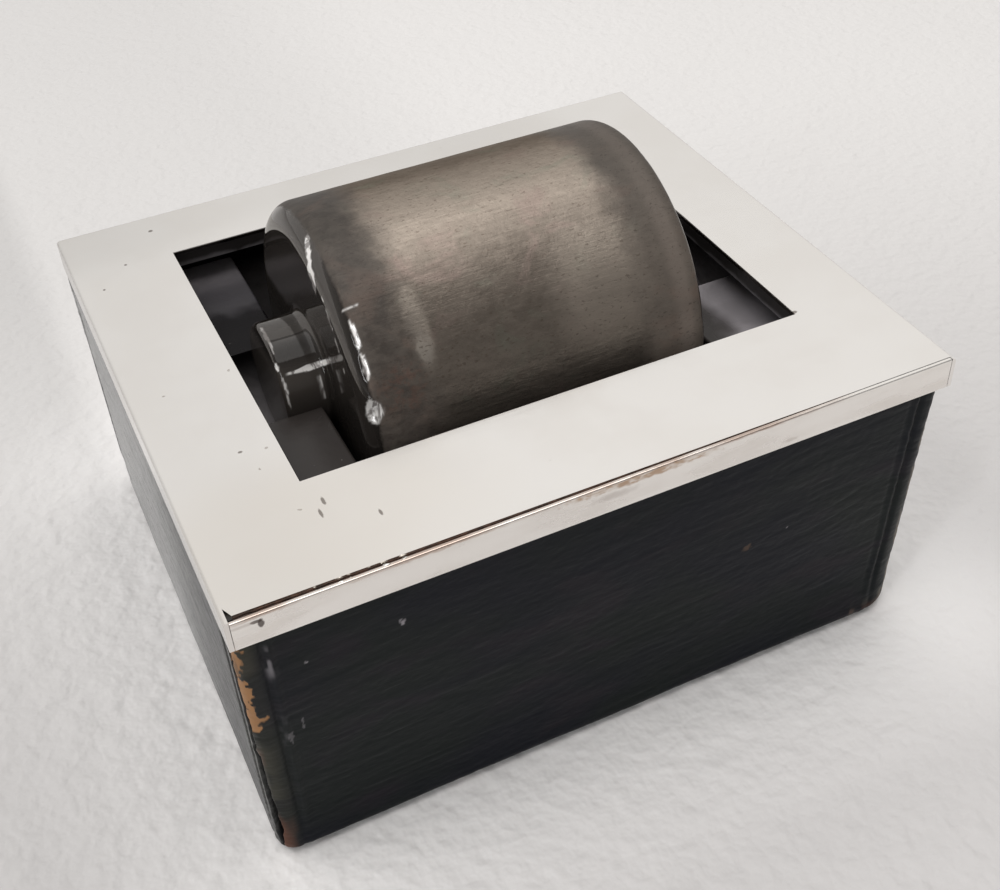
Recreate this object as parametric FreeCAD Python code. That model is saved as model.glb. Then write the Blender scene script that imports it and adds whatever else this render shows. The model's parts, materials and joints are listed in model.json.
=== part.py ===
import FreeCAD, Part
import math
import os

# Desk moistener: a leather-covered wooden box with a plated sheet-metal cap, a black
# water tank and a ground-glass roller. Millimetres. Origin at the centre of the base,
# +X along the long side, -Y is the front, +Z up.
V = FreeCAD.Vector

# --- cap: one sheet folded down on three sides, with a strip soldered along the front ---
CAP_LEN, CAP_DEP = 100.0, 89.0
CAP_TOP = 47.0
CAP_SKIRT = 4.6
SHEET = 0.6
FOLD_R = 0.55
OPEN_X0, OPEN_X1 = -34.65, 37.3
OPEN_Y0, OPEN_Y1 = -26.15, 32.0
STRIP_T = 0.48
SEAM_TIGHT = 0.07       # seam between sheet and strip where it still holds
SEAM_OPEN = 0.40        # and at the left end, where the solder has let go
SEAM_END_X = 35.0
STRIP_SAG = 0.40        # the loose end of the strip sits this much lower
NICK = (0.75, 1.7)      # torn corner of the sheet at the loose end, across and back

# --- stiffening frame behind the sheet, four flat strips ---
BACK_T = 2.0
BACK_GAP = 0.1

# --- box, measured over its leather; the cap sits a little to one side on it ---
BOX_X0, BOX_X1 = -49.9, 49.1
BOX_Y0, BOX_Y1 = -43.8, 43.6
BOX_TOP = 44.0          # top of the boards, inside the cap's skirt
LEATHER_TOP = 42.1      # the leather stops just under the skirt
LEATHER = 0.9
TURN_IN = 7.0           # leather turned under the base
TURN_IN_T = 0.8
CORNER_TOP_R = 1.3      # upright corners are crisp at the top
CORNER_LOW_R = 6.0      # and worn round at the bottom
CORNER_SEAM_R = 3.0     # less so at the front left, beside the seam
HEM_R = 2.2
TOOL_INSET = 3.4        # blind-tooled line beside each upright edge
TOOL_R = 0.45
TOOL_DEPTH = 0.3
SEAM_Y = 1.2            # butt seam of the leather, this far round the front left corner
SEAM_W = 0.14
SPLIT_W = 0.8           # where that seam has split open
SPLIT_Z0, SPLIT_Z1 = 3.5, 29.0
BOARD = 3.2
BASE_BOARD = 5.0
GLUE = 0.05

# --- water tank ---
TANK_GAP = 0.4
TANK_WALL = 2.1
TANK_FLOOR = 2.4
TANK_RIM_R = 0.5
TANK_CORNER_R = 2.0
BLOCK_L_X = -25.2       # inner faces of the two bearing blocks
BLOCK_R_X = 28.5
BLOCK_EDGE = 0.5

# --- glass roller, turned about X ---
AXIS_Y, AXIS_Z = 2.65, 40.55
ROLLER_X0, ROLLER_X1 = -23.5, 27.0
ROLLER_R = 23.6
SHOULDER_L_R = 3.6
SHOULDER_R_R = 1.5
NECK_R = 8.6
NECK_LEN = 6.7
NECK_FILLET = 1.2
NECK_RIM_R = 0.9
RUN_GAP = 0.08          # radial running clearance of the necks in their grooves


def box(x0, x1, y0, y1, z0, z1):
    return Part.makeBox(x1 - x0, y1 - y0, z1 - z0, V(x0, y0, z0))


def prism(points, direction):
    """Solid swept from a closed polygon."""
    loop = [V(*p) for p in points]
    return Part.Face(Part.makePolygon(loop + loop[:1])).extrude(direction)


def edges_where(shape, test):
    return [e for e in shape.Edges if test(e.BoundBox)]


def flat(lo, hi):
    return hi - lo < 1e-6


def upright(bb):
    return flat(bb.XMin, bb.XMax) and flat(bb.YMin, bb.YMax) and bb.ZLength > 1e-6


def at(value, target):
    return abs(value - target) < 1e-6


def round_upright(shape, radius, x=None, y=None):
    """Round the upright edges, or only those at the given x or y."""
    def test(bb):
        return upright(bb) and (x is None or at(bb.XMin, x)) and (y is None or at(bb.YMin, y))
    return shape.makeFillet(radius, edges_where(shape, test))


# --- cap ---------------------------------------------------------------------------
cap_x, cap_y = CAP_LEN / 2, CAP_DEP / 2
skirt_z = CAP_TOP - CAP_SKIRT
in_x, in_y = cap_x - SHEET, cap_y - SHEET
under_sheet = CAP_TOP - SHEET


def cap_plate():
    outer = box(-cap_x, cap_x, -cap_y, cap_y, skirt_z, CAP_TOP)
    outer = round_upright(outer, FOLD_R, y=cap_y)
    folds = edges_where(outer, lambda b: at(b.ZMin, CAP_TOP) and not at(b.YMax, -cap_y))
    outer = outer.makeFillet(FOLD_R * 0.95, folds)
    inner = box(-in_x, in_x, -cap_y - 1, in_y, skirt_z - 1, under_sheet)
    sheet = outer.cut(inner)
    # the front edge of the sheet stops short of the strip, by more at the loose end
    strip_in = -cap_y + STRIP_T
    front = [(-in_x, -cap_y - 1, skirt_z - 1), (in_x, -cap_y - 1, skirt_z - 1),
             (in_x, strip_in + SEAM_TIGHT, skirt_z - 1),
             (SEAM_END_X, strip_in + SEAM_TIGHT, skirt_z - 1),
             (-in_x, strip_in + SEAM_OPEN, skirt_z - 1)]
    sheet = sheet.cut(prism(front, V(0, 0, CAP_SKIRT + 2)))
    nick_y = strip_in + SEAM_OPEN - 0.2
    nick = [(-in_x, nick_y, skirt_z), (-in_x + NICK[0], nick_y, skirt_z),
            (-in_x, nick_y + NICK[1], skirt_z)]
    sheet = sheet.cut(prism(nick, V(0, 0, CAP_SKIRT + 1)))
    opening = box(OPEN_X0, OPEN_X1, OPEN_Y0, OPEN_Y1, skirt_z, CAP_TOP + 1)
    sheet = sheet.cut(opening)
    rim = edges_where(sheet, lambda b: at(b.ZMin, CAP_TOP) and at(b.ZMax, CAP_TOP)
                      and b.XMin > OPEN_X0 - 0.01 and b.XMax < OPEN_X1 + 0.01
                      and b.YMin > OPEN_Y0 - 0.01 and b.YMax < OPEN_Y1 + 0.01)
    return sheet.makeChamfer(0.12, rim)


def cap_front_strip():
    x = in_x - SEAM_TIGHT
    outline = [(-x, -cap_y, skirt_z), (x, -cap_y, skirt_z), (x, -cap_y, CAP_TOP - 0.05),
               (SEAM_END_X, -cap_y, CAP_TOP - 0.05), (-x, -cap_y, CAP_TOP - STRIP_SAG)]
    strip = prism(outline, V(0, STRIP_T, 0))
    top_front = edges_where(strip, lambda b: b.ZMin > skirt_z + 1 and at(b.YMax, -cap_y)
                            and b.XLength > 1)
    return strip.makeFillet(0.2, top_front)


def cap_backing():
    """Four flat strips, flush with the edges of the opening."""
    x, y0, y1 = in_x - BACK_GAP, -cap_y + STRIP_T + SEAM_OPEN, in_y - BACK_GAP
    z0, z1 = under_sheet - BACK_T, under_sheet
    return {
        "cap_backing_front": box(-x, x, y0, OPEN_Y0, z0, z1),
        "cap_backing_back": box(-x, x, OPEN_Y1, y1, z0, z1),
        "cap_backing_left": box(-x, OPEN_X0, OPEN_Y0 + GLUE, OPEN_Y1 - GLUE, z0, z1),
        "cap_backing_right": box(OPEN_X1, x, OPEN_Y0 + GLUE, OPEN_Y1 - GLUE, z0, z1),
    }


# --- box ---------------------------------------------------------------------------
wood_x0, wood_x1 = BOX_X0 + LEATHER, BOX_X1 - LEATHER
wood_y0, wood_y1 = BOX_Y0 + LEATHER, BOX_Y1 - LEATHER
well_x0, well_x1 = wood_x0 + BOARD, wood_x1 - BOARD
well_y0, well_y1 = wood_y0 + BOARD, wood_y1 - BOARD
base_top = TURN_IN_T + BASE_BOARD


def box_solid(inset, top):
    """The box's outside, inset by some amount: corners crisp above and worn round below."""
    high, hem = CORNER_TOP_R - inset, HEM_R - inset
    z0 = min(inset, TURN_IN_T)
    body = box(BOX_X0 + inset, BOX_X1 - inset, BOX_Y0 + inset, BOX_Y1 - inset, z0, top)
    for centre in [e.CenterOfMass for e in edges_where(body, upright)]:
        edge = next(e for e in body.Edges if e.CenterOfMass.distanceToPoint(centre) < 0.1)
        rising = edge.Vertexes[0].Z < edge.Vertexes[-1].Z
        low = (CORNER_SEAM_R if centre.x < 0 and centre.y < 0 else CORNER_LOW_R) - inset
        body = body.makeFillet(*((high, low) if rising else (low, high)), [edge])
    foot = [e for e in body.Edges if all(at(v.Z, z0) for v in e.Vertexes)]
    return body.makeFillet(hem, foot)


def boards():
    """Front and back run full length; the sides and the base fit between them."""
    far = CAP_LEN
    wood = box_solid(LEATHER, BOX_TOP)
    y = (well_y0 + GLUE, well_y1 - GLUE)
    slabs = {
        "board_front": box(-far, far, -far, well_y0, 0, far),
        "board_back": box(-far, far, well_y1, far, 0, far),
        "board_left": box(-far, well_x0, *y, 0, far),
        "board_right": box(well_x1, far, *y, 0, far),
        "board_base": box(well_x0 + GLUE, well_x1 - GLUE, *y, 0, base_top),
    }
    return {name: wood.common(slab) for name, slab in slabs.items()}


def leather_wrap():
    """One strip round all four sides, turned in under the base."""
    under = box(BOX_X0 + TURN_IN, BOX_X1 - TURN_IN, BOX_Y0 + TURN_IN, BOX_Y1 - TURN_IN, -1, 2)
    wrap = box_solid(0, LEATHER_TOP).cut(box_solid(LEATHER - GLUE / 2, BOX_TOP)).cut(under)
    off = TOOL_R - TOOL_DEPTH
    lines = []
    for x in (BOX_X0 + TOOL_INSET, BOX_X1 - TOOL_INSET):
        lines += [(x, BOX_Y0 - off), (x, BOX_Y1 + off)]
    for y in (BOX_Y0 + TOOL_INSET, BOX_Y1 - TOOL_INSET):
        lines += [(BOX_X0 - off, y), (BOX_X1 + off, y)]
    for x, y in lines:
        wrap = wrap.cut(Part.makeCylinder(TOOL_R, LEATHER_TOP, V(x, y, 2 * HEM_R)))
    # butt seam just round the front left corner, split open over its lower half
    seam_y = BOX_Y0 + SEAM_Y
    x0, depth = BOX_X0 - 1, 1 + LEATHER
    wrap = wrap.cut(box(x0, BOX_X0 + TURN_IN + 1, seam_y, seam_y + SEAM_W, -1, BOX_TOP + 1))
    split = [(x0, seam_y, SPLIT_Z0), (x0, seam_y + SPLIT_W, SPLIT_Z0),
             (x0, seam_y + SEAM_W, SPLIT_Z1), (x0, seam_y, SPLIT_Z1)]
    return wrap.cut(prism(split, V(depth, 0, 0)))


def leather_base():
    edge = TURN_IN + 0.15
    return box(BOX_X0 + edge, BOX_X1 - edge, BOX_Y0 + edge, BOX_Y1 - edge,
               0, TURN_IN_T - GLUE)


# --- tank --------------------------------------------------------------------------
tank_x0, tank_x1 = well_x0 + TANK_GAP, well_x1 - TANK_GAP
tank_y0, tank_y1 = well_y0 + TANK_GAP, well_y1 - TANK_GAP
tank_z0 = base_top + TANK_GAP
floor_z = tank_z0 + TANK_FLOOR


def water_tank():
    outer = round_upright(box(tank_x0, tank_x1, tank_y0, tank_y1, tank_z0, BOX_TOP),
                          TANK_CORNER_R)
    w = TANK_WALL
    inner = box(tank_x0 + w, tank_x1 - w, tank_y0 + w, tank_y1 - w, floor_z, BOX_TOP + 1)
    tank = outer.cut(inner)
    rim = edges_where(tank, lambda b: at(b.ZMin, BOX_TOP))
    return tank.makeFillet(TANK_RIM_R, rim)


def bearing_block(x0, x1, inner_x):
    """Solid block between the tank walls, with a half-round groove along the axis."""
    y0, y1 = tank_y0 + TANK_WALL + GLUE, tank_y1 - TANK_WALL - GLUE
    block = box(x0, x1, y0, y1, floor_z + GLUE, AXIS_Z)
    groove = Part.makeCylinder(NECK_R + RUN_GAP, x1 - x0, V(x0, AXIS_Y, AXIS_Z), V(1, 0, 0))
    block = block.cut(groove)
    brow = edges_where(block, lambda b: at(b.ZMin, AXIS_Z) and at(b.XMin, inner_x)
                       and at(b.XMax, inner_x))
    return block.makeFillet(BLOCK_EDGE, brow)


# --- roller ------------------------------------------------------------------------
def end_profile(end, out, s):
    """Outline of one end as (kind, points) in x, r: shoulder, end face, neck.
    end is the x of the end face, out its outward sign and s the shoulder radius."""
    f, k, c = NECK_FILLET, NECK_RIM_R, math.sqrt(0.5)
    tip = end + out * NECK_LEN
    root = end + out * f
    return [
        ("arc", (end - out * s, ROLLER_R), (end - out * (s - s * c), ROLLER_R - s + s * c),
         (end, ROLLER_R - s)),
        ("line", (end, ROLLER_R - s), (end, NECK_R + f)),
        ("arc", (end, NECK_R + f), (root - out * f * c, NECK_R + f - f * c), (root, NECK_R)),
        ("line", (root, NECK_R), (tip - out * k, NECK_R)),
        ("arc", (tip - out * k, NECK_R), (tip - out * (k - k * c), NECK_R - k + k * c),
         (tip, NECK_R - k)),
        ("line", (tip, NECK_R - k), (tip, 0)),
    ]


def glass_roller():
    left, right = ROLLER_X0 + SHOULDER_L_R, ROLLER_X1 - SHOULDER_R_R
    outline = [("line", (left, ROLLER_R), (right, ROLLER_R)),
               ("line", (ROLLER_X0 - NECK_LEN, 0), (ROLLER_X1 + NECK_LEN, 0))]
    outline += end_profile(ROLLER_X0, -1, SHOULDER_L_R)
    outline += end_profile(ROLLER_X1, 1, SHOULDER_R_R)
    edges = []
    for kind, *pts in outline:
        p = [V(x, AXIS_Y, AXIS_Z + r) for x, r in pts]
        edges.append(Part.Arc(*p).toShape() if kind == "arc" else Part.makeLine(*p))
    face = Part.Face(Part.Wire(Part.__sortEdges__(edges)))
    return face.revolve(V(0, AXIS_Y, AXIS_Z), V(1, 0, 0), 360)


nodes = {
    "cap_plate": cap_plate(),
    "cap_front_strip": cap_front_strip(),
    **cap_backing(),
    **boards(),
    "leather_wrap": leather_wrap(),
    "leather_base": leather_base(),
    "water_tank": water_tank(),
    "bearing_block_left": bearing_block(tank_x0 + TANK_WALL + GLUE, BLOCK_L_X, BLOCK_L_X),
    "bearing_block_right": bearing_block(BLOCK_R_X, tank_x1 - TANK_WALL - GLUE, BLOCK_R_X),
    "glass_roller": glass_roller(),
}

os.makedirs("parts", exist_ok=True)
for name, shape in nodes.items():
    shape.exportStep("parts/" + name + ".step")
    bb = shape.BoundBox
    print(name, shape.isValid(), len(shape.Solids), round(shape.Volume, 1),
          [round(v, 2) for v in (bb.XMin, bb.XMax, bb.YMin, bb.YMax, bb.ZMin, bb.ZMax)])
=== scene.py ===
import json
import math

import bpy
import numpy as np
from mathutils import Matrix, Vector


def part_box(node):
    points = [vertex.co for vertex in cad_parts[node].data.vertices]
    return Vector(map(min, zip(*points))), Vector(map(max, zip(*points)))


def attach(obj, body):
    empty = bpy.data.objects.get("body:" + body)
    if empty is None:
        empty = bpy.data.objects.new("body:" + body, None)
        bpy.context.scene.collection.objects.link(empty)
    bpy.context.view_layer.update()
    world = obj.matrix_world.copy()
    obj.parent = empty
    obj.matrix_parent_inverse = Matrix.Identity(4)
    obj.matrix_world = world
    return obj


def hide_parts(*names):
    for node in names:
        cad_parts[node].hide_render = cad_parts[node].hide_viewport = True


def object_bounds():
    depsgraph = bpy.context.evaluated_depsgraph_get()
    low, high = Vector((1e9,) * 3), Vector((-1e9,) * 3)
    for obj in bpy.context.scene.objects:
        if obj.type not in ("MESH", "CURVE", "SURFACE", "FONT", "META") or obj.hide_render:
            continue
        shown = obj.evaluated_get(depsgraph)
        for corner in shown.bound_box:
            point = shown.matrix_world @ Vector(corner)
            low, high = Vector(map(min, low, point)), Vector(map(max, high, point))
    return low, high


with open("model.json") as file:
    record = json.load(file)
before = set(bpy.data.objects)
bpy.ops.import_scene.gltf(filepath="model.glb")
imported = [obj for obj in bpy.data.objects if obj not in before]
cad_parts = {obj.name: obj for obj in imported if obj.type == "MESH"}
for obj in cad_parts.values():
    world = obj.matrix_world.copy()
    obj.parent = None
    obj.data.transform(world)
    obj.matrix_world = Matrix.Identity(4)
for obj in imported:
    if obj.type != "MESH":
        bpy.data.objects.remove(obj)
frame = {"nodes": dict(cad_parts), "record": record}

# Desk moistener: leather-covered box, plated cap, black water tank and ground-glass roller.
# Metres in the frame; lengths named below are millimetres unless they say otherwise.
MM = 0.001
SEED = 317
cad_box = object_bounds()
nodes = frame["nodes"]
scene = bpy.context.scene


def node_box(name):
    """Lowest and highest corner of a CAD node, in millimetres."""
    lo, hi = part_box(name)
    return np.array(lo) / MM, np.array(hi) / MM


# --- noise ---------------------------------------------------------------------------
def lattice(ix, iy, iz, seed):
    """A repeatable value from 0 to 1 at each whole-numbered place."""
    h = (ix * 374761393 + iy * 668265263 + iz * 2147483647 + seed * 1274126177) & 0xFFFFFFFF
    h = ((h ^ (h >> 13)) * 1274126177) & 0xFFFFFFFF
    h = ((h ^ (h >> 15)) * 2246822519) & 0xFFFFFFFF
    return ((h ^ (h >> 16)) & 0xFFFF) / 65535.0


def noise(p, size, seed):
    """Smooth value noise from 0 to 1 at points p, with cells of that size along each axis."""
    q = p / np.asarray(size, float)
    cell = np.floor(q).astype(np.int64)
    f = q - cell
    f = f * f * f * (f * (f * 6 - 15) + 10)
    total = np.zeros(len(p))
    for corner in range(8):
        bit = np.array([(corner >> k) & 1 for k in range(3)])
        weight = np.prod(np.where(bit, f, 1 - f), axis=1)
        total += weight * lattice(*(cell + bit).T, seed + SEED)
    return total


def step(value, low, high):
    """Smooth step from 0 at low to 1 at high; low may be the larger."""
    t = np.clip((value - low) / (high - low), 0, 1)
    return t * t * (3 - 2 * t)


# --- meshes --------------------------------------------------------------------------
def make_mesh(name, verts, faces):
    """A smooth mesh object from millimetre points and equal-length faces."""
    verts, faces = np.asarray(verts, float) * MM, np.asarray(faces, np.int32)
    me = bpy.data.meshes.new(name)
    me.vertices.add(len(verts))
    me.vertices.foreach_set("co", verts.astype(np.float32).ravel())
    n, k = faces.shape
    me.loops.add(n * k)
    me.loops.foreach_set("vertex_index", faces.ravel())
    me.polygons.add(n)
    me.polygons.foreach_set("loop_start", np.arange(0, n * k, k, dtype=np.int32))
    me.polygons.foreach_set("use_smooth", np.full(n, True))
    me.update(calc_edges=True)
    me.validate()
    ob = bpy.data.objects.new(name, me)
    scene.collection.objects.link(ob)
    return ob


def grid_faces(rows, cols, wrap_rows=False, wrap_cols=False):
    """Quads of a grid of points stored row by row."""
    i = np.arange(rows if wrap_rows else rows - 1)[:, None]
    j = np.arange(cols if wrap_cols else cols - 1)[None, :]
    i2, j2 = (i + 1) % rows, (j + 1) % cols
    quads = [i * cols + j, i * cols + j2, i2 * cols + j2, i2 * cols + j]
    return np.stack(np.broadcast_arrays(*quads), -1).reshape(-1, 4)


def paint(ob, name, values):
    """A number at each vertex, read by a material's Attribute node."""
    at = ob.data.attributes.new(name, "FLOAT", "POINT")
    at.data.foreach_set("value", np.asarray(values, np.float32))


# --- materials -----------------------------------------------------------------------
class Material:
    """A node material with short calls for the nodes it needs."""

    def __init__(self, name):
        self.made = bpy.data.materials.new(name)
        self.made.use_nodes = True
        self.tree = self.made.node_tree
        self.shader = self.tree.nodes["Principled BSDF"]
        self.out = self.tree.nodes["Material Output"]
        self.where = None

    def node(self, kind, values=None, **props):
        """A new node, with numbers, colours or other nodes' outputs put into its sockets."""
        n = self.tree.nodes.new("ShaderNode" + kind)
        for k, v in props.items():
            setattr(n, k, v)
        for k, v in (values or {}).items():
            self.put(n.inputs[k], v)
        return n

    def put(self, socket, value):
        if isinstance(value, bpy.types.NodeSocket):
            self.tree.links.new(value, socket)
        elif isinstance(value, tuple) and len(value) == 3 and socket.type == "RGBA":
            socket.default_value = (*value, 1)
        else:
            socket.default_value = value

    def point(self):
        """The point in the object, in millimetres."""
        if self.where is None:
            self.where = self.scale(self.node("TexCoord").outputs["Object"], 1 / MM)
        return self.where

    def math(self, op, a, b=0.0, c=0.0, clamp=False):
        return self.node("Math", {0: a, 1: b, 2: c}, operation=op, use_clamp=clamp).outputs[0]

    def times(self, *factors):
        total = factors[0]
        for factor in factors[1:]:
            total = self.math("MULTIPLY", total, factor)
        return total

    def scale(self, vector, by):
        return self.node("VectorMath", {0: vector, "Scale": by}, operation="SCALE").outputs[0]

    def axis(self, k):
        """The point's x, y or z, in millimetres."""
        return self.node("SeparateXYZ", {0: self.point()}).outputs[k]

    def noise(self, size, detail=3.0, rough=0.5, warp=0.0, seed=0.0):
        """Noise from 0 to 1 with features of that size in millimetres along each axis."""
        size = size if isinstance(size, tuple) else (size,) * 3
        place = self.node("Mapping", {"Vector": self.point(), "Scale": tuple(1 / s for s in size),
                                      "Location": (seed, seed * 1.7, seed * 2.3)}).outputs[0]
        return self.node("TexNoise", {"Vector": place, "Scale": 1.0, "Detail": detail,
                                      "Roughness": rough, "Distortion": warp}).outputs[0]

    def ramp(self, value, low, high, to_low=0.0, to_high=1.0):
        """Smooth change from to_low at low to to_high at high; low may be the larger."""
        return self.node("MapRange", {0: value, 1: low, 2: high, 3: to_low, 4: to_high},
                         interpolation_type="SMOOTHSTEP").outputs[0]

    def spot(self, centre, radii, ragged=0.3, size=1.0, soft=0.3):
        """1 inside a ragged patch at that place and 0 outside it."""
        away = self.node("VectorMath", {0: self.point(), 1: centre}, operation="SUBTRACT").outputs[0]
        away = self.node("VectorMath", {0: away, 1: radii}, operation="DIVIDE").outputs[0]
        away = self.node("VectorMath", {0: away}, operation="LENGTH").outputs[1]
        edge = self.math("MULTIPLY_ADD", self.noise(size), ragged * 2, -ragged)
        return self.ramp(self.math("ADD", away, edge), 1 + soft / 2, 1 - soft / 2)

    def mix(self, share, a, b):
        """Colour a, going to b as share goes to 1."""
        n = self.node("Mix", data_type="RGBA")
        self.put(n.inputs[0], share)
        self.put(n.inputs[6], a)
        self.put(n.inputs[7], b)
        return n.outputs[2]

    def attribute(self, name):
        """A number that was painted on the mesh."""
        return self.node("Attribute", attribute_name=name).outputs["Fac"]

    def bump(self, height, depth, normal=None):
        """depth is the height's full swing, in millimetres."""
        values = {"Height": height, "Distance": depth * MM, "Strength": 1.0}
        if normal is not None:
            values["Normal"] = normal
        return self.node("Bump", values).outputs[0]

    def set(self, **values):
        """Values for the main shader's sockets, with _ for a space in their names."""
        for k, v in values.items():
            self.put(self.shader.inputs[k.replace("_", " ")], v)


def wear(ob, material):
    """Gives a piece its one material."""
    ob.data.materials.clear()
    ob.data.materials.append(material.made)


# the cap's opening, its half sizes, its top and the strip along its front
OPEN_LO = (node_box("cap_backing_left")[1][0], node_box("cap_backing_front")[1][1])
OPEN_HI = (node_box("cap_backing_right")[0][0], node_box("cap_backing_back")[0][1])
HALF_LONG, HALF_WIDE, CAP_TOP = node_box("cap_plate")[1]
CUT_EDGE = 0.14         # how far the painted shade on the rim of the opening reaches into the sheet
STRIP_LO, STRIP_HI = node_box("cap_front_strip")
STRIP_FACE, STRIP_TOP = STRIP_LO[1], STRIP_HI[2]
# marks as ((place across, place along or up), (half sizes)), on the top and on the strip
PLATE_MARKS = [((37.5, -25.8), (0.45, 0.3)), ((-36.2, 39.9), (0.35, 0.3)),
               ((-42.0, 32.3), (0.22, 0.22)), ((-39.6, -17.5), (0.28, 0.22)),
               ((-33.4, -30.9), (0.22, 0.75)), ((-34.4, -32.8), (0.2, 0.8)),
               ((-28.0, -36.0), (0.2, 0.55)), ((-46.4, 27.2), (0.2, 0.2))]
STRIP_PITS = [((-45.9, 45.3), (0.35, 0.7)), ((-46.3, 45.7), (0.7, 0.25))]
STRIP_SMUDGES = [((-48.0, 45.7), (1.6, 0.22)), ((-1.0, 44.9), (2.6, 0.5)), ((24.5, 43.3), (1.0, 0.25))]


# plated sheet: bright and faintly warm, with handling marks
def plated():
    m = Material("plated_sheet")
    haze = m.noise(14.0, 4.0, 0.55)
    fine = m.noise((9.0, 0.25, 0.25), 2.0, 0.5, 0.3)
    colour = m.mix(m.ramp(haze, 0.35, 0.7), (0.955, 0.93, 0.90), (0.92, 0.89, 0.855))
    # staining towards the loose front left corner
    warm = m.spot((-38.0, -36.0, CAP_TOP), (20.0, 13.0, 9.0), 0.45, 7.0, 1.0)
    colour = m.mix(m.times(warm, 0.35), colour, (0.86, 0.80, 0.72))
    specks = m.ramp(m.noise(2.2, 2.0, 0.6, 0.0, 5.0), 0.765, 0.78)
    colour = m.mix(m.times(specks, 0.5), colour, (0.35, 0.3, 0.25))
    for (at_x, at_y), (half_x, half_y) in PLATE_MARKS:
        mark = m.spot((at_x, at_y, CAP_TOP), (half_x, half_y, 1.0), 0.35, 0.5, 0.5)
        colour = m.mix(m.times(mark, 0.75), colour, (0.16, 0.13, 0.11))
    # painted shade: the plate is made a little darker towards the left and the back
    x, y, z = m.axis(0), m.axis(1), m.axis(2)
    left = m.ramp(x, -20.0, -46.0, 0.0, 0.08)
    back = m.times(m.ramp(y, 26.0, 40.0, 0.0, 0.09), m.ramp(x, 44.0, 20.0))
    colour = m.scale(colour, m.math("SUBTRACT", m.math("SUBTRACT", 1.0, left), back))
    # painted shade: the cut edges of the opening are painted dark brown
    inside = m.ramp(z, CAP_TOP, CAP_TOP - 0.1)
    for value, limit in ((x, OPEN_LO[0]), (y, OPEN_LO[1])):
        inside = m.times(inside, m.math("GREATER_THAN", value, limit - CUT_EDGE))
    for value, limit in ((x, OPEN_HI[0]), (y, OPEN_HI[1])):
        inside = m.times(inside, m.math("LESS_THAN", value, limit + CUT_EDGE))
    colour = m.mix(m.times(inside, 0.88), colour, (0.05, 0.035, 0.028))
    rough = m.ramp(m.math("MULTIPLY_ADD", fine, 0.4, haze), 0.5, 0.9, 0.13, 0.2)
    dents = m.bump(m.noise(16.0, 1.0, 0.4, 0.0, 3.0), 0.02)
    m.set(Base_Color=colour, Metallic=1.0, Roughness=rough,
          Normal=m.bump(m.noise((5.0, 0.3, 0.3), 2.0, 0.5), 0.002, dents))
    return m


# the strip's face is duller, with brown tarnish creeping out of the soldered seam
def strip_finish():
    m = Material("plated_strip")
    haze = m.noise((12.0, 3.0, 3.0), 4.0, 0.55)
    colour = m.mix(m.ramp(haze, 0.4, 0.75), (0.97, 0.94, 0.90), (0.87, 0.83, 0.785))
    x, z = m.axis(0), m.axis(2)
    along = m.ramp(x, 30.0, -45.0)
    seam_z = m.math("MULTIPLY_ADD", along, -0.35, STRIP_TOP)
    below = m.math("SUBTRACT", seam_z, z)
    edge = m.math("MULTIPLY_ADD", m.noise((2.5, 1.0, 0.8), 4.0, 0.65, 0.5, 2.0), 0.9, -0.3)
    band = m.ramp(m.math("SUBTRACT", below, edge), 0.35, 0.0)
    patch = m.ramp(m.noise((9.0, 4.0, 4.0), 2.0, 0.5, 0.0, 7.0), 0.36, 0.6)
    band = m.times(band, m.math("MULTIPLY_ADD", patch, 0.45, 0.22))
    band = m.times(band, m.ramp(x, 36.0, 26.0))
    colour = m.mix(band, colour, (0.43, 0.28, 0.205))
    creep = m.times(m.spot((2.8, STRIP_FACE, 46.25), (9.5, 1.0, 0.48), 0.7, 0.8, 0.9),
                    m.ramp(m.noise((1.6, 1.0, 0.6), 3.0, 0.6), 0.4, 0.6, 0.25, 0.8))
    colour = m.mix(creep, colour, (0.44, 0.27, 0.15))
    for places, soft, share, dark in ((STRIP_PITS, 0.5, 0.85, (0.07, 0.05, 0.045)),
                                      (STRIP_SMUDGES, 1.2, 0.4, (0.46, 0.40, 0.36))):
        for (at_x, at_z), (half_x, half_z) in places:
            mark = m.spot((at_x, STRIP_FACE, at_z), (half_x, 1.0, half_z), 0.6, 0.7, soft)
            colour = m.mix(m.times(mark, share), colour, dark)
    m.set(Base_Color=colour, Metallic=1.0, Roughness=m.ramp(haze, 0.3, 0.75, 0.2, 0.3),
          Normal=m.bump(m.noise((6.0, 1.0, 1.0), 3.0, 0.5, 0.0, 9.0), 0.03))
    return m


# black stained wood behind the sheet
def ebonised():
    m = Material("ebonised_wood")
    grain = m.noise((22.0, 0.7, 0.7), 4.0, 0.6, 0.4)
    colour = m.mix(grain, (0.006, 0.0055, 0.006), (0.03, 0.026, 0.024))
    # splashed water has left a grey bloom low down on the inner edges
    cloud = m.noise((7.0, 7.0, 3.0), 4.0, 0.6, 0.6)
    low = m.ramp(m.math("MULTIPLY_ADD", cloud, 2.4, m.math("SUBTRACT", m.axis(2), 1.2)), 45.2, 44.3)
    colour = m.mix(m.times(low, 0.8), colour, (0.16, 0.15, 0.157))
    m.set(Base_Color=colour, Roughness=m.ramp(grain, 0.3, 0.7, 0.32, 0.5),
          Normal=m.bump(grain, 0.04))
    return m


# plain brown deal under the leather
def box_wood():
    m = Material("box_wood")
    rings = m.noise((30.0, 30.0, 1.6), 3.0, 0.55, 0.6)
    pores = m.noise((6.0, 6.0, 0.22), 2.0, 0.6)
    colour = m.mix(rings, (0.16, 0.085, 0.04), (0.36, 0.22, 0.12))
    colour = m.mix(m.ramp(pores, 0.62, 0.7), colour, (0.08, 0.045, 0.025))
    m.set(Base_Color=colour, Roughness=m.ramp(rings, 0.2, 0.8, 0.5, 0.72),
          Normal=m.bump(pores, 0.05))
    return m


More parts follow.
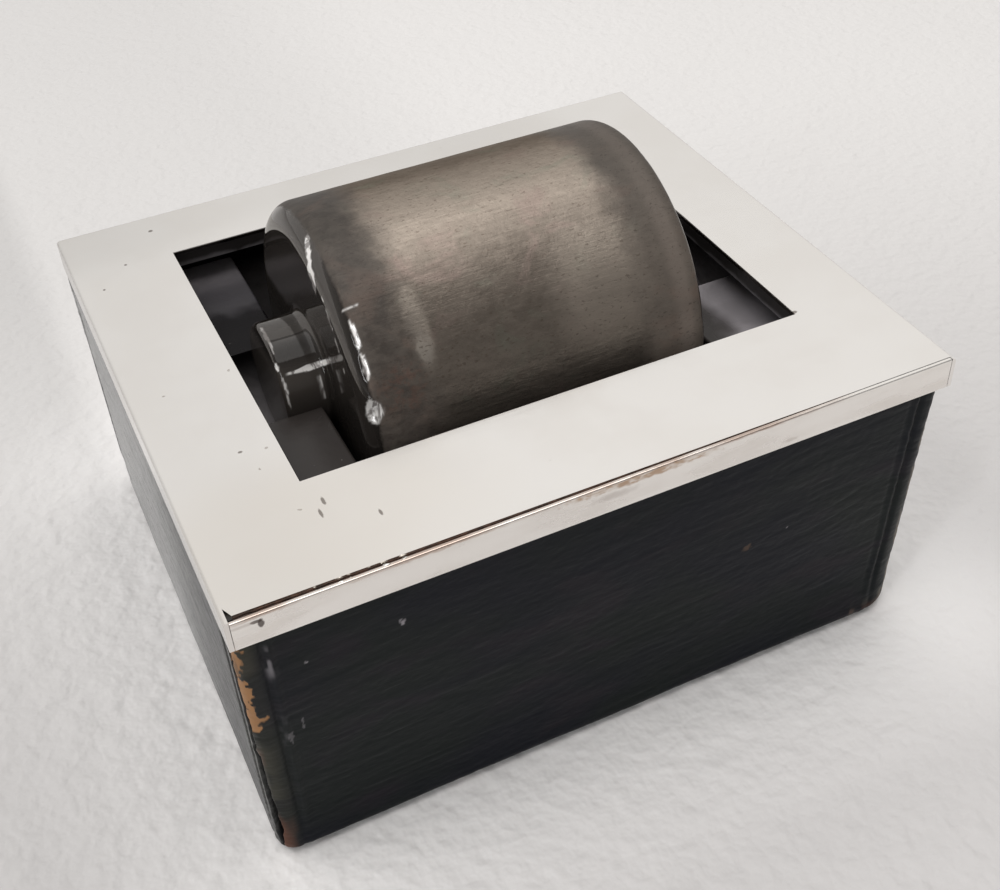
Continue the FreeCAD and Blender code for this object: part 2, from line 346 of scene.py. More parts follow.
# black leather, with the places where it is worn painted on its mesh
def leather():
    m = Material("leather")
    drift = m.noise((26.0, 26.0, 12.0), 2.0, 0.5)
    tint = m.noise((15.0, 15.0, 7.0), 2.0, 0.5, 0.4, 4.0)
    grain = m.noise((2.6, 2.6, 0.5), 4.0, 0.65, 0.5, 1.0)
    colour = m.mix(m.ramp(drift, 0.35, 0.65), (0.0085, 0.0096, 0.0140), (0.0100, 0.0128, 0.0128))
    colour = m.mix(m.ramp(tint, 0.5, 0.72), colour, (0.015, 0.0132, 0.0175))
    colour = m.mix(m.ramp(grain, 0.55, 0.8, 0.0, 0.5), colour, (0.026, 0.026, 0.029))
    colour = m.mix(m.attribute("rub"), colour, (0.16, 0.15, 0.14))
    colour = m.mix(m.attribute("olive"), colour, (0.075, 0.07, 0.052))
    colour = m.mix(m.attribute("tan"), colour,
                   m.mix(m.noise(1.1, 3.0), (0.43, 0.22, 0.095), (0.31, 0.18, 0.10)))
    colour = m.mix(m.attribute("cream"), colour, (0.42, 0.37, 0.30))
    colour = m.mix(m.attribute("brown"), colour, (0.16, 0.075, 0.05))
    colour = m.mix(m.attribute("white"), colour, (0.50, 0.47, 0.50))
    # inside the split seam the leather is painted near black: painted shade in the narrow gap
    colour = m.mix(m.attribute("gap"), colour, (0.004, 0.0035, 0.003))
    bare = m.math("MAXIMUM", m.attribute("tan"), m.attribute("cream"))
    rough = m.math("MULTIPLY_ADD", bare, 0.25, m.ramp(grain, 0.3, 0.8, 0.40, 0.58), clamp=True)
    # the left side is rubbed smooth, and the foot is dull with dirt
    smooth = m.ramp(m.axis(0), -49.0, -49.6)
    foot = m.ramp(m.axis(2), -4.0, 24.0, 0.25, 1.0)
    smooth = m.times(smooth, m.ramp(m.axis(1), -32.0, 12.0, 0.3, 0.95))
    level = m.math("MULTIPLY_ADD", smooth, 0.5, m.times(foot, 0.13))
    sheen = m.math("MULTIPLY_ADD", smooth, 0.48, m.times(foot, 0.05))
    m.set(Base_Color=colour, Roughness=m.math("MULTIPLY_ADD", smooth, -0.14, rough),
          Specular_IOR_Level=level, Sheen_Weight=sheen, Sheen_Roughness=0.3,
          Normal=m.bump(grain, 0.045))
    return m


# thin leather or paper under the base
def leather_under():
    m = Material("leather_under")
    wrinkle = m.noise((3.0, 3.0, 3.0), 5.0, 0.65, 0.8)
    colour = m.mix(wrinkle, (0.012, 0.013, 0.016), (0.045, 0.042, 0.042))
    m.set(Base_Color=colour, Roughness=m.ramp(wrinkle, 0.3, 0.7, 0.5, 0.75),
          Normal=m.bump(wrinkle, 0.12))
    return m


# hard black rubber, glossy where clean, with a grey bloom and dried water marks, both partly painted paler as
# painted light where the tank lies in shade
def vulcanite():
    m = Material("vulcanite")
    x, y, z = (m.axis(k) for k in range(3))
    cloud = m.noise((9.0, 9.0, 7.0), 5.0, 0.6, 0.8)
    dust = m.ramp(m.noise(0.7, 2.0, 0.6, 0.0, 3.0), 0.74, 0.78)
    normal = m.node("NewGeometry").outputs["Normal"]
    up = m.ramp(m.node("SeparateXYZ", {0: normal}).outputs[2], 0.2, 0.8)
    # the inside of the tank, out to its walls
    lo, hi = node_box("water_tank")
    inner = 1.0
    for k, at in enumerate((x, y)):
        off = m.math("ABSOLUTE", m.math("SUBTRACT", at, (lo[k] + hi[k]) / 2))
        half = (hi[k] - lo[k]) / 2
        inner = m.times(inner, m.ramp(off, half - 1.4, half - 1.8))
    # dried water film: at the back of the left block and the outer part of the right one; it is painted paler
    # towards the back of the left block and over the right block, where shade falls: partly painted light
    right = m.ramp(x, -1.0, 1.0)
    shore = m.noise(7.0, 2.0, 0.5)
    left_film = m.ramp(m.math("MULTIPLY_ADD", shore, 16.0, m.math("SUBTRACT", y, 8.0)), 19.0, 26.0)
    right_film_and_painted_light = m.ramp(m.math("MULTIPLY_ADD", shore, 5.0, m.math("SUBTRACT", x, 2.5)), 31.0, 34.5)
    share = m.math("MULTIPLY_ADD", right, m.math("SUBTRACT", right_film_and_painted_light, left_film), left_film)
    film_and_painted_light = m.times(share, up)
    front = m.times(m.ramp(y, -1.0, -6.0), up)
    # painted light: the film's colour is lifted towards the back of the left block and on the right block,
    # where the cap casts shade
    painted_light_in_shade = m.math("MAXIMUM", right, m.math("POWER", m.ramp(y, 25.0, 36.0), 2.0))
    film_colour_and_painted_light = m.mix(painted_light_in_shade, (0.034, 0.031, 0.036), (0.30, 0.28, 0.295))
    film_colour_and_painted_light = m.mix(m.ramp(cloud, 0.35, 0.65, 0.35, 0.0), film_colour_and_painted_light, (0.03, 0.027, 0.03))
    clean = m.mix(right, (0.008, 0.007, 0.008), (0.024, 0.021, 0.022))
    colour = m.mix(front, clean, (0.036, 0.031, 0.029))
    # a paler grey deposit low on the tank's inner walls, also there to lighten the deep tank, which lies in
    # shade: partly painted light
    scale = m.times(m.ramp(z, 40.0, 32.0), inner, m.ramp(cloud, 0.3, 0.6, 0.5, 0.95))
    colour = m.mix(scale, colour, (0.26, 0.245, 0.25))
    tired = m.ramp(m.noise(13.0, 4.0, 0.6, 0.6, 5.0), 0.42, 0.66)
    colour = m.mix(m.times(tired, m.math("SUBTRACT", 1.0, inner)), colour, (0.034, 0.026, 0.02))
    colour = m.mix(film_and_painted_light, colour, film_colour_and_painted_light)
    colour = m.mix(m.times(dust, 0.7), colour, (0.26, 0.25, 0.24))
    shine = m.math("MAXIMUM", m.times(film_and_painted_light, 0.45), m.math("MULTIPLY_ADD", front, 0.22, 0.08))
    shine = m.math("MULTIPLY_ADD", inner, m.math("SUBTRACT", shine, 0.5), 0.5)
    rough = m.math("ADD", m.ramp(film_and_painted_light, 0.0, 1.0, 0.2, 0.48), m.ramp(tired, 0.0, 1.0, 0.0, 0.12))
    scratch = m.noise((9.0, 0.6, 0.5), 3.0, 0.6, 0.8)
    m.set(Base_Color=colour, Roughness=rough, Specular_IOR_Level=shine,
          Normal=m.bump(m.noise(3.0, 3.0, 0.6), 0.03, m.bump(scratch, 0.02)))
    return m


# dull grey solder
def solder_finish():
    m = Material("solder")
    patches = m.noise(0.8, 3.0)
    colour = m.mix(patches, (0.55, 0.53, 0.5), (0.8, 0.78, 0.74))
    m.set(Base_Color=colour, Metallic=1.0, Roughness=m.ramp(patches, 0.3, 0.7, 0.25, 0.45),
          Normal=m.bump(m.noise(0.5, 2.0), 0.03))
    return m


# glass: ground matt on the drum from x_left to x_right, polished and murky at the ends
def glass(x_left, x_right, spot_at, rust_at):
    m = Material("ground_glass")
    x = m.axis(0)
    at = m.math("MULTIPLY_ADD", m.noise(1.6, 3.0), 0.8, m.math("SUBTRACT", x, 0.4))
    ground = m.times(m.ramp(at, x_left, x_left + 0.5), m.ramp(at, x_right, x_right - 0.4))
    scratch = m.noise((5.0, 0.35, 0.35), 4.0, 0.65, 0.4)
    pits = m.noise(0.9, 3.0, 0.6, 0.3, 6.0)
    cloud = m.noise((2.6, 1.6, 1.6), 5.0, 0.7, 0.3, 4.0)
    tint = m.noise((7.0, 6.0, 6.0), 4.0, 0.6, 0.6, 8.0)
    drift = m.math("MULTIPLY_ADD", m.noise(4.0, 3.0, 0.6), 5.0, m.math("SUBTRACT", x, 2.5))
    middle = m.times(m.ramp(drift, -17.5, -11.0), m.ramp(drift, 20.5, 15.5))
    ring = m.times(m.ramp(x, 21.8, 23.6), m.ramp(x, 25.6, 24.4))
    # the worn middle throws light back like dull metal; its colour is painted paler in a band over the top
    # and low at the front: a painted highlight
    spot = m.spot(*spot_at, 0.45, 0.8, 0.9)
    y = m.axis(1)
    worn = m.times(m.ramp(y, -12.0, -2.0, 0.12, 0.95), m.ramp(y, 3.0, 9.0, 1.0, 0.55))
    worn = m.math("ADD", worn, m.ramp(y, -15.5, -20.0, 0.0, 0.4))
    worn = m.math("ADD", worn, m.math("MULTIPLY_ADD", m.ramp(cloud, 0.3, 0.7), 0.3, -0.15))
    pale = m.mix(worn, (0.165, 0.14, 0.118), (0.345, 0.297, 0.252))
    pale = m.mix(m.ramp(tint, 0.55, 0.72, 0.0, 0.45), pale, (0.31, 0.235, 0.21))
    pale = m.mix(m.ramp(tint, 0.45, 0.3, 0.0, 0.4), pale, (0.245, 0.255, 0.205))
    rough = m.ramp(m.math("MULTIPLY_ADD", spot, -0.35, scratch), 0.3, 0.75, 0.40, 0.54)
    bumps = m.bump(scratch, 0.035, m.bump(pits, 0.05))
    # and the less worn margins are a flat grey brown
    dull = m.mix(m.ramp(cloud, 0.3, 0.7), (0.038, 0.032, 0.028), (0.068, 0.058, 0.05))
    dull = m.mix(m.ramp(x, 15.0, 19.0, 0.0, 0.5), dull, (0.125, 0.105, 0.088))
    dull = m.mix(m.ramp(tint, 0.52, 0.72, 0.0, 0.5), dull, (0.11, 0.078, 0.062))
    dull = m.mix(m.times(ring, 0.5), dull, (0.15, 0.125, 0.108))
    rust = m.times(m.spot(*rust_at, 0.9, 0.7, 0.8), m.ramp(pits, 0.42, 0.6))
    dull = m.mix(m.times(rust, 0.5), dull, (0.085, 0.046, 0.035))
    low_right = m.spot((13.0, -17.0, 54.0), (7.0, 9.0, 9.0), 0.2, 2.0, 0.9)
    pale = m.mix(m.times(low_right, 0.62), pale, (0.46, 0.40, 0.34))
    # painted highlight: a soft pale streak low on the left of the drum
    low_left = m.spot((-13.8, -15.4, 55.4), (1.5, 5.2, 5.2), 0.25, 0.8, 0.9)
    pale = m.mix(m.times(low_left, 0.65), pale, (0.50, 0.44, 0.375))
    # the polished spot is also painted pale: a painted highlight
    pale = m.mix(m.times(spot, 0.6), pale, (0.66, 0.60, 0.53))
    speck = m.ramp(m.noise((0.7, 0.32, 0.32), 3.0, 0.6, 0.4, 9.0), 0.60, 0.66, 0.0, 0.5)
    pale = m.mix(speck, pale, (0.13, 0.10, 0.08))
    dull = m.mix(speck, dull, (0.035, 0.027, 0.022))
    # painted shade and light: the skin is painted darker over the top at the back and paler low down at the
    # front
    low = m.ramp(y, -19.3, -20.7, 1.0, 1.8)
    dull_painted_light = m.times(m.ramp(y, -2.0, -17.0, 0.76, 1.33), low)
    dull = m.scale(dull, dull_painted_light)
    pale_painted_light = m.times(m.ramp(y, -14.0, -18.5, 1.0, 0.8), low)
    pale = m.scale(pale, pale_painted_light)
    matt = m.node("BsdfPrincipled", {"Base Color": dull, "Roughness": 0.5, "Specular IOR Level": 0.22,
                                     "Normal": bumps}).outputs[0]
    shine = m.node("BsdfPrincipled", {"Base Color": pale, "Metallic": 0.93, "Roughness": rough,
                                      "Specular Tint": (0.25, 0.22, 0.20), "Normal": bumps}).outputs[0]
    share = m.math("MAXIMUM", m.math("MULTIPLY_ADD", middle, 0.9, 0.08), m.times(spot, 0.8))
    skin = m.node("MixShader", {0: share, 1: matt, 2: shine}).outputs[0]
    clear = m.node("BsdfGlass", {"Color": (0.60, 0.56, 0.53), "Roughness": 0.012, "IOR": 1.5}).outputs[0]
    # painted shade and light: the necks are painted darker at the top and paler low down
    neck = m.math("MAXIMUM", m.ramp(x, x_left - 1.8, x_left - 2.6), m.ramp(x, x_right + 0.7, x_right + 1.5))
    neck_painted_shading = m.math("MULTIPLY_ADD", neck, m.ramp(m.axis(2), 48.3, 44.6, -0.38, 1.6), 1.0)
    murk = m.node("BsdfPrincipled", {"Base Color": m.scale((0.026, 0.0225, 0.020), neck_painted_shading),
                                     "Roughness": 0.06, "Specular IOR Level": 0.22}).outputs[0]
    ends = m.node("MixShader", {0: 0.88, 1: clear, 2: murk}).outputs[0]
    chip, painted_glint = m.attribute("chip"), m.attribute("painted_glint")
    flaw = m.ramp(m.noise((0.9, 2.4, 2.4), 3.0, 0.6, 0.5, 14.0), 0.46, 0.58)
    # the chips are cut into the mesh; their paler facets, up to near white, are painted highlights where they
    # catch the light
    facet = m.mix(painted_glint, (0.16, 0.15, 0.14), (0.9, 0.88, 0.86))
    facet = m.mix(m.times(flaw, 0.8), facet, (0.10, 0.085, 0.08))
    chip_with_painted_glint = m.node("BsdfPrincipled", {"Base Color": facet, "Roughness": 0.12,
                                       "Specular IOR Level": 0.8}).outputs[0]
    both = m.node("MixShader", {0: ground, 1: ends, 2: skin}).outputs[0]
    both = m.node("MixShader", {0: chip, 1: both, 2: chip_with_painted_glint}).outputs[0]
    m.tree.links.new(both, m.out.inputs["Surface"])
    return m


# --- leather wrap --------------------------------------------------------------------
WRAP_LO, WRAP_HI = node_box("leather_wrap")
WRAP_TOP = WRAP_HI[2]
LEATHER = node_box("board_front")[0][1] - WRAP_LO[1]     # the leather's thickness
TURN_IN = 7.0           # how far it is folded under the base
CORNER_TOP_R, HEM_R = 1.3, 2.2
CORNER_LOW_R = (3.0, 6.0, 6.0, 6.0)     # front left, front right, back right, back left
TOOL_INSET = 3.4        # the tooled line, in from a side's end
SEAM_Y = 1.2            # the seam, back from the front face
CORNER_REACH = 9        # how far from an upright edge its corner's wear may go
# how far round the front left corner the hide shows through, as (height, reach)
TAN_REACH = [(25.8, -1.0), (26.4, 0.75), (27.6, 1.4), (28.6, 2.1), (29.6, 1.2), (30.4, 0.55),
             (31.2, 0.95), (33.0, 1.15), (34.6, 1.0), (35.6, 0.8), (36.2, 0.1), (37.4, 0.4),
             (39.0, 0.8), (41.0, 1.05), (42.1, 1.1)]
# small pale knocks on the front, as (place, half sizes, strength)
KNOCKS = [((-29.5, 36.2), (0.3, 0.5), 0.6), ((-41.8, 35.65), (0.13, 0.13), 0.7),
          ((26.2, 26.4), (0.14, 0.14), 0.7), ((-43.6, 25.3), (0.14, 0.9), 0.22),
          ((-45.4, 23.5), (0.3, 0.8), 0.22)]


def spread(a, b, step_size):
    """Even numbers from a to b, about that far apart."""
    return np.linspace(a, b, max(2, int(round(abs(b - a) / step_size)) + 1))


def wrap_grid():
    """The cover's plain form, in rows up its profile and columns round the box.

    Gives the points, their outward normals, the way each faces seen from above, whether it is
    on the outside, and the grid's shape.
    """
    fine = 0.22
    # rows: inset from the side plane, height, tilt of the outward normal below the horizon
    rows = [(d, 0.0, 90.0) for d in spread(TURN_IN, HEM_R, 0.8)[:-1]]
    rows += [(HEM_R * (1 - math.cos(a)), HEM_R * (1 - math.sin(a)), math.degrees(a))
             for a in np.linspace(math.pi / 2, 0, 13)]
    rows += [(0.0, z, 0.0) for z in spread(HEM_R, WRAP_TOP - 0.15, fine)[1:]]
    rows += [(0.05, WRAP_TOP - 0.05, -45.0), (0.15, WRAP_TOP, -90.0)]
    rows += [(LEATHER - 0.02, z, 180.0) for z in spread(WRAP_TOP, 1.2, 8.0)]
    rows += [(LEATHER + 0.5, 0.78, 180.0), (TURN_IN, 0.78, 180.0)]
    d, z, tilt = np.array(rows).T[:, :, None]
    arc = np.linspace(0, 1, 49)
    sides = []
    for length in (WRAP_HI[0] - WRAP_LO[0], WRAP_HI[1] - WRAP_LO[1]):
        end = spread(0, 6.0, 0.13)
        mid = spread(6.0, length - 6.0, fine)
        sides.append(np.concatenate([end[1:-1], mid, length - end[::-1][1:-1]]) / length)
    corners = [(WRAP_LO[0], WRAP_LO[1]), (WRAP_HI[0], WRAP_LO[1]), (WRAP_HI[0], WRAP_HI[1]),
               (WRAP_LO[0], WRAP_HI[1])]
    radius, centre = [], []
    for (cx, cy), low in zip(corners, CORNER_LOW_R):
        r = low + (CORNER_TOP_R - low) * np.clip(z / 44.0, 0, 1)
        inset = np.maximum(r, d + 0.25)
        radius.append(np.maximum(r - d, 0.25))
        centre.append((cx + np.sign(-cx) * inset, cy + np.sign(-cy) * inset))
    px, py, nx, ny = [], [], [], []
    for k, start in enumerate((180, 270, 0, 90)):
        a = np.radians(start + 90 * arc)[None, :]
        px.append(centre[k][0] + radius[k] * np.cos(a))
        py.append(centre[k][1] + radius[k] * np.sin(a))
        nx.append(np.cos(a) + 0 * z)
        ny.append(np.sin(a) + 0 * z)
        nxt, t = (k + 1) % 4, sides[k % 2][None, :]
        facing = math.radians(start + 90)
        out = (round(math.cos(facing)), round(math.sin(facing)))
        ends = [[centre[c][i] + out[i] * radius[c] for i in (0, 1)] for c in (k, nxt)]
        px.append(ends[0][0] + (ends[1][0] - ends[0][0]) * t)
        py.append(ends[0][1] + (ends[1][1] - ends[0][1]) * t)
        nx.append(out[0] + 0 * (z + t))
        ny.append(out[1] + 0 * (z + t))
    px, py, nx, ny = (np.concatenate(v, 1) for v in (px, py, nx, ny))
    lean = np.radians(tilt)
    n = np.stack([nx * np.cos(lean), ny * np.cos(lean), -np.sin(lean) + 0 * nx], -1)
    p = np.stack([px, py, z + 0 * px], -1)
    outer = ((tilt < 100) & (tilt > -80)) & np.ones(px.shape, bool)
    return (p.reshape(-1, 3), n.reshape(-1, 3), np.stack([nx, ny], -1).reshape(-1, 2),
            outer.ravel(), px.shape)


def blob(x, z, at, radii, rough, ragged, seed):
    """1 inside a ragged patch on the front, 0 outside it."""
    edge = noise(np.stack([x, z, 0 * x], 1), (rough,) * 3, seed) - 0.5
    return step(np.hypot((x - at[0]) / radii[0], (z - at[1]) / radii[1]) + ragged * edge, 1.15, 0.8)


def relief(p, tool):
    """Height of the leather's surface over its plain form."""
    # long wrinkles that rise a little to the right, finer ones between, and open creases
    q = p.copy()
    q[:, 2] += 1.2 * (noise(p, (14, 14, 6), 1) - 0.5) - 0.055 * p[:, 0]
    h = 0.07 * (noise(q, (11, 11, 1.5), 2) - 0.5)
    h += 0.06 * (noise(q, (4.5, 4.5, 0.7), 3) - 0.5)
    h += 0.05 * (noise(p, (0.9, 0.9, 0.4), 4) - 0.5)
    crease = 1 - np.abs(2 * noise(q, (15, 15, 2.4), 5) - 1)
    h -= 0.04 * step(crease, 0.8, 1.0) * step(noise(p, (13, 13, 9), 6), 0.42, 0.65)
    h += 0.20 * (noise(p, (20, 20, 11), 7) - 0.5)
    # tooled lines: a dark groove with a raised edge on the inner side
    fade = step(p[:, 2], 3.0, 11.0)
    h -= 0.34 * np.exp(-(((tool - TOOL_INSET) / 0.42) ** 2)) * (0.25 + 0.75 * fade)
    h += 0.16 * np.exp(-(((tool - TOOL_INSET - 0.9) / 0.38) ** 2)) * (0.15 + 0.85 * fade)
    h -= 0.07 * np.exp(-(((tool - TOOL_INSET - 1.8) / 0.4) ** 2)) * fade
    return h


def front_left_wear(p, front_left, side):
    """Shares of each colour where the leather is worn along the front left corner."""
    X, Y, Z = p.T
    near_edge = front_left & (Y < WRAP_LO[1] + SEAM_Y)
    # worn through to the tan hide, by a different reach at each height
    reach = np.interp(Z, *zip(*TAN_REACH))
    jag = noise(p, (0.5, 0.5, 0.5), 10) + 0.6 * noise(p, (1.4, 1.4, 1.4), 21) - 0.8
    tan = near_edge * step(side + 1.1 * jag, reach + 0.12, reach - 0.12)
    tan *= 1 - 0.45 * step(Z, 35.5, 36.5) * step(noise(p, (0.6, 0.6, 1.8), 22), 0.35, 0.6)
    edge_line = near_edge * step(side, 0.9, 0.1)
    fleck = step(noise(p, (0.5, 0.5, 2.6), 11), 0.42, 0.66)
    cream = edge_line * fleck * step(Z, 26.5, 24) * step(Z, 8, 13) * 0.55
    # faded to olive above and below, and brown at the foot
    cloud = noise(p, (2.2, 2.2, 3.4), 12)
    olive = near_edge * step(side, 4.0, 0.4) * step(cloud, 0.3, 0.6) * 0.6
    olive *= step(Z, 26.5, 22) * step(Z, 7, 13)
    olive = np.maximum(olive, near_edge * step(side, 3.4, 1.4) * step(Z, 35, 38) * 0.55)
    olive = np.maximum(olive, front_left * step(side, 3.4, 2.0) * 0.18)
    foot = near_edge * step(side, 3.2, 0.6) * step(Z, 10.5, 5.0) * step(cloud, 0.22, 0.5) * 0.75
    pink = near_edge * step(side, 1.1, 0.3) * step(np.abs(Z - 21.0), 2.2, 1.0) * 0.4
    return tan, cream, olive, np.maximum(foot, pink)


def wrap_mesh():
    """The leather cover, with its relief, its seam and its wear painted on."""
    p, n, way, out, shape = wrap_grid()
    x0, y0, x1 = WRAP_LO[0], WRAP_LO[1], WRAP_HI[0]
    X, Y, Z = p.T
    nx, ny = np.abs(way.T)
    left_end = np.where(ny > 0.99, X - x0, np.where(nx > 0.99, Y - y0, 0))
    right_end = np.where(ny > 0.99, x1 - X - 0.07 * (34 - Z), np.where(nx > 0.99, WRAP_HI[1] - Y, 0))
    tool = np.minimum(left_end, right_end) + 0.25 * (noise(p, (30, 30, 8), 8) - 0.5)
    h = relief(p, tool)
    # the butt seam, tight above and split below, just round the front left corner
    front_left = (X < x0 + CORNER_REACH) & (Y < y0 + CORNER_REACH)
    width = 0.10 + 0.62 * step(Z, 31, 12) * step(Z, 2.0, 5.0)
    seam = Y - (y0 + SEAM_Y) + 0.3 * (noise(p, (50, 50, 1.4), 9) - 0.5)
    gap = front_left * step(np.abs(seam), width / 2 + 0.1, width / 2)
    lift = front_left * np.exp(-((np.abs(seam) / (width / 2 + 0.5)) ** 2)) * (1 - gap) * step(Z, 33, 26)
    side = np.where(Y < y0 + 1.0, X - x0, 0) + np.maximum(Y - y0 - 0.9, 0) * 0.6
    tan, cream, olive, brown = front_left_wear(p, front_left, side)
    # the other corners are rubbed, and the front right one is pale and browned low down
    turn = 1 - np.maximum(nx, ny)
    worn = noise(p, (1.5, 1.5, 3.0), 14) + 0.7 * noise(p, (0.5, 0.5, 0.8), 25)
    rub = step(turn, 0.0, 0.28) * step(worn, 0.9, 1.35) * 0.5 * (1 - front_left)
    right = (X > x1 - CORNER_REACH) & (Y < y0 + CORNER_REACH)
    bare = step(noise(p, (0.7, 0.7, 3.0), 15), 0.5, 0.66)
    pale_low = step(noise(p, (1.3, 1.3, 1.0), 16), 0.35, 0.75)
    brown_low = step(noise(p, (1.3, 1.3, 1.0), 17), 0.35, 0.75)
    cream = np.maximum(cream, right * step(turn, 0.02, 0.14) * bare * 0.42)
    cream = np.maximum(cream, right * step(Z, 4.5, 1.5) * pale_low * 0.14)
    brown = np.maximum(brown, right * step(Z, 3.2, 1.2) * brown_low * 0.4)
    brown = np.maximum(brown, step(Z, 1.6, 0.4) * step(noise(p, (3, 3, 1), 18), 0.62, 0.75) * 0.3)
    # pale scuffs on the left tooled line and a few small knocks
    front = (way[:, 1] < -0.99) & out
    ridge = np.exp(-(((tool - TOOL_INSET - 0.55) / 0.5) ** 2))
    streaks = step(noise(p, (0.45, 0.45, 1.5), 19), 0.4, 0.75)
    high = 0.34 * step(np.abs(Z - 37.6), 3.8, 1.0) + 0.16 * step(np.abs(Z - 25.0), 3.6, 0.6)
    white = front * (X < 0) * ridge * streaks * high
    for at, radii, amount in KNOCKS:
        white = np.maximum(white, front * amount * blob(X, Z, at, radii, 0.22, 1.6, 23))
    spot = front * blob(X, Z, (19.7, 25.4), (0.72, 0.58), 0.35, 1.0, 24)
    brown = np.maximum(brown, 0.3 * spot)
    olive = np.maximum(olive, 0.55 * spot)
    h -= 0.09 * tan + 0.05 * spot
    h += 0.12 * lift
    h = np.where(out, np.clip(h, -0.7, 0.4) * (1 - gap) - (LEATHER - 0.04) * gap, 0.0)
    p = p + n * h[:, None]
    limit_lo, limit_hi = np.array(cad_box[0]) / MM, np.array(cad_box[1]) / MM
    p = np.clip(p, limit_lo + 0.01, limit_hi - 0.01)
    ob = make_mesh("leather_cover", p, grid_faces(*shape, wrap_rows=True, wrap_cols=True))
    marks = {"tan": tan, "cream": cream, "olive": olive, "brown": brown, "rub": rub, "white": white}
    for name, v in marks.items():
        paint(ob, name, np.clip(v, 0, 1) * out * (1 - gap))
    paint(ob, "gap", gap * out)
    return ob


cover = wrap_mesh()
wear(cover, leather())
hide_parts("leather_wrap")
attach(cover, "box")

# --- roller --------------------------------------------------------------------------
lo, hi = node_box("glass_roller")
axis_y, axis_z = (lo[1] + hi[1]) / 2, (lo[2] + hi[2]) / 2
drum_r = (hi[1] - lo[1]) / 2
NECK_LEN, NECK_R, NECK_FILLET, NECK_RIM_R = 6.7, 8.6, 1.2, 0.9
SHOULDER_L_R, SHOULDER_R_R = 3.6, 1.5
end_l, end_r = lo[0] + NECK_LEN, hi[0] - NECK_LEN


def bend(centre, radius, a0, a1, n):
    """Points on an arc between two angles in degrees."""
    a = np.radians(np.linspace(a0, a1, n))
    return [(centre[0] + radius * math.cos(t), centre[1] + radius * math.sin(t)) for t in a]


def half_profile(s, n):
    """(distance out from the end face, radius) from the drum's edge to the neck's tip."""
    pts = bend((-s, drum_r - s), s, 90, 0, n)
    pts += [(0.0, r) for r in np.linspace(drum_r - s, NECK_R + NECK_FILLET, 14)[1:-1]]
    pts += bend((NECK_FILLET, NECK_R + NECK_FILLET), NECK_FILLET, 180, 270, 10)
    pts += [(x, NECK_R) for x in np.linspace(NECK_FILLET, NECK_LEN - NECK_RIM_R, 8)[1:-1]]
    pts += bend((NECK_LEN - NECK_RIM_R, NECK_R - NECK_RIM_R), NECK_RIM_R, 90, 0, 9)
    pts += [(NECK_LEN, r) for r in (NECK_R * 0.6, NECK_R * 0.25)]
    return pts


# Bruises, chips and facets of the clear glass, the facets painted bright as painted highlights:
# place along the section (radius plus distance from the drum's middle), turn from the top, half sizes
# along the section and round, drift along the section per millimetre round, depth, brightness of the painted
# highlight.
LEFT_FLAWS = [(2.7, -11.5, 0.8, 2.9, 0.6, 0.05, 0.9), (0.6, -18.5, 1.5, 1.9, 0.5, 0.05, 0.8),
              (-0.4, -42.0, 0.3, 4.8, 0.25, 0.04, 0.6), (5.6, -37.5, 1.4, 0.26, 0.0, 0.06, 0.5),
              (4.9, -46.5, 0.5, 2.5, 0.0, 0.12, 1.0), (4.8, -56.5, 0.6, 2.3, 0.05, 0.15, 1.0),
              (4.2, -71.5, 1.8, 1.9, 0.2, 0.45, 0.75), (-17.7, -66.0, 0.3, 2.7, 0.0, 0.1, 0.7),
              (-12.8, -70.0, 0.3, 2.9, 0.0, 0.08, 0.7), (-18.0, -41.0, 0.5, 0.8, 0.0, 0.25, 0.6),
              (-12.8, -50.0, 4.6, 0.46, 0.0, 0.06, 0.75), (-17.6, -8.0, 0.3, 3.4, 0.0, 0.03, 0.15),
              (1.3, 118.0, 1.1, 1.9, 0.1, 0.3, 0.8), (4.4, -160.0, 0.8, 1.5, 0.0, 0.25, 0.8)]
RIGHT_FLAWS = [(1.4, -12.0, 0.3, 2.6, 0.0, 0.05, 0.9), (0.9, 31.0, 0.35, 1.4, 0.0, 0.12, 0.8),
               (1.4, 150.0, 0.6, 1.2, 0.2, 0.2, 0.8)]
# the polished spot low at the left, also painted pale as a painted highlight, and the rusty stain beside it,
# as (place, half sizes)
GLOSS_AND_PAINTED_HIGHLIGHT = ((-13.8, -17.0, 53.5), (1.15, 1.9, 1.9))
RUST_STAIN = ((-17.2, -18.9, 50.1), (3.0, 3.0, 3.0))


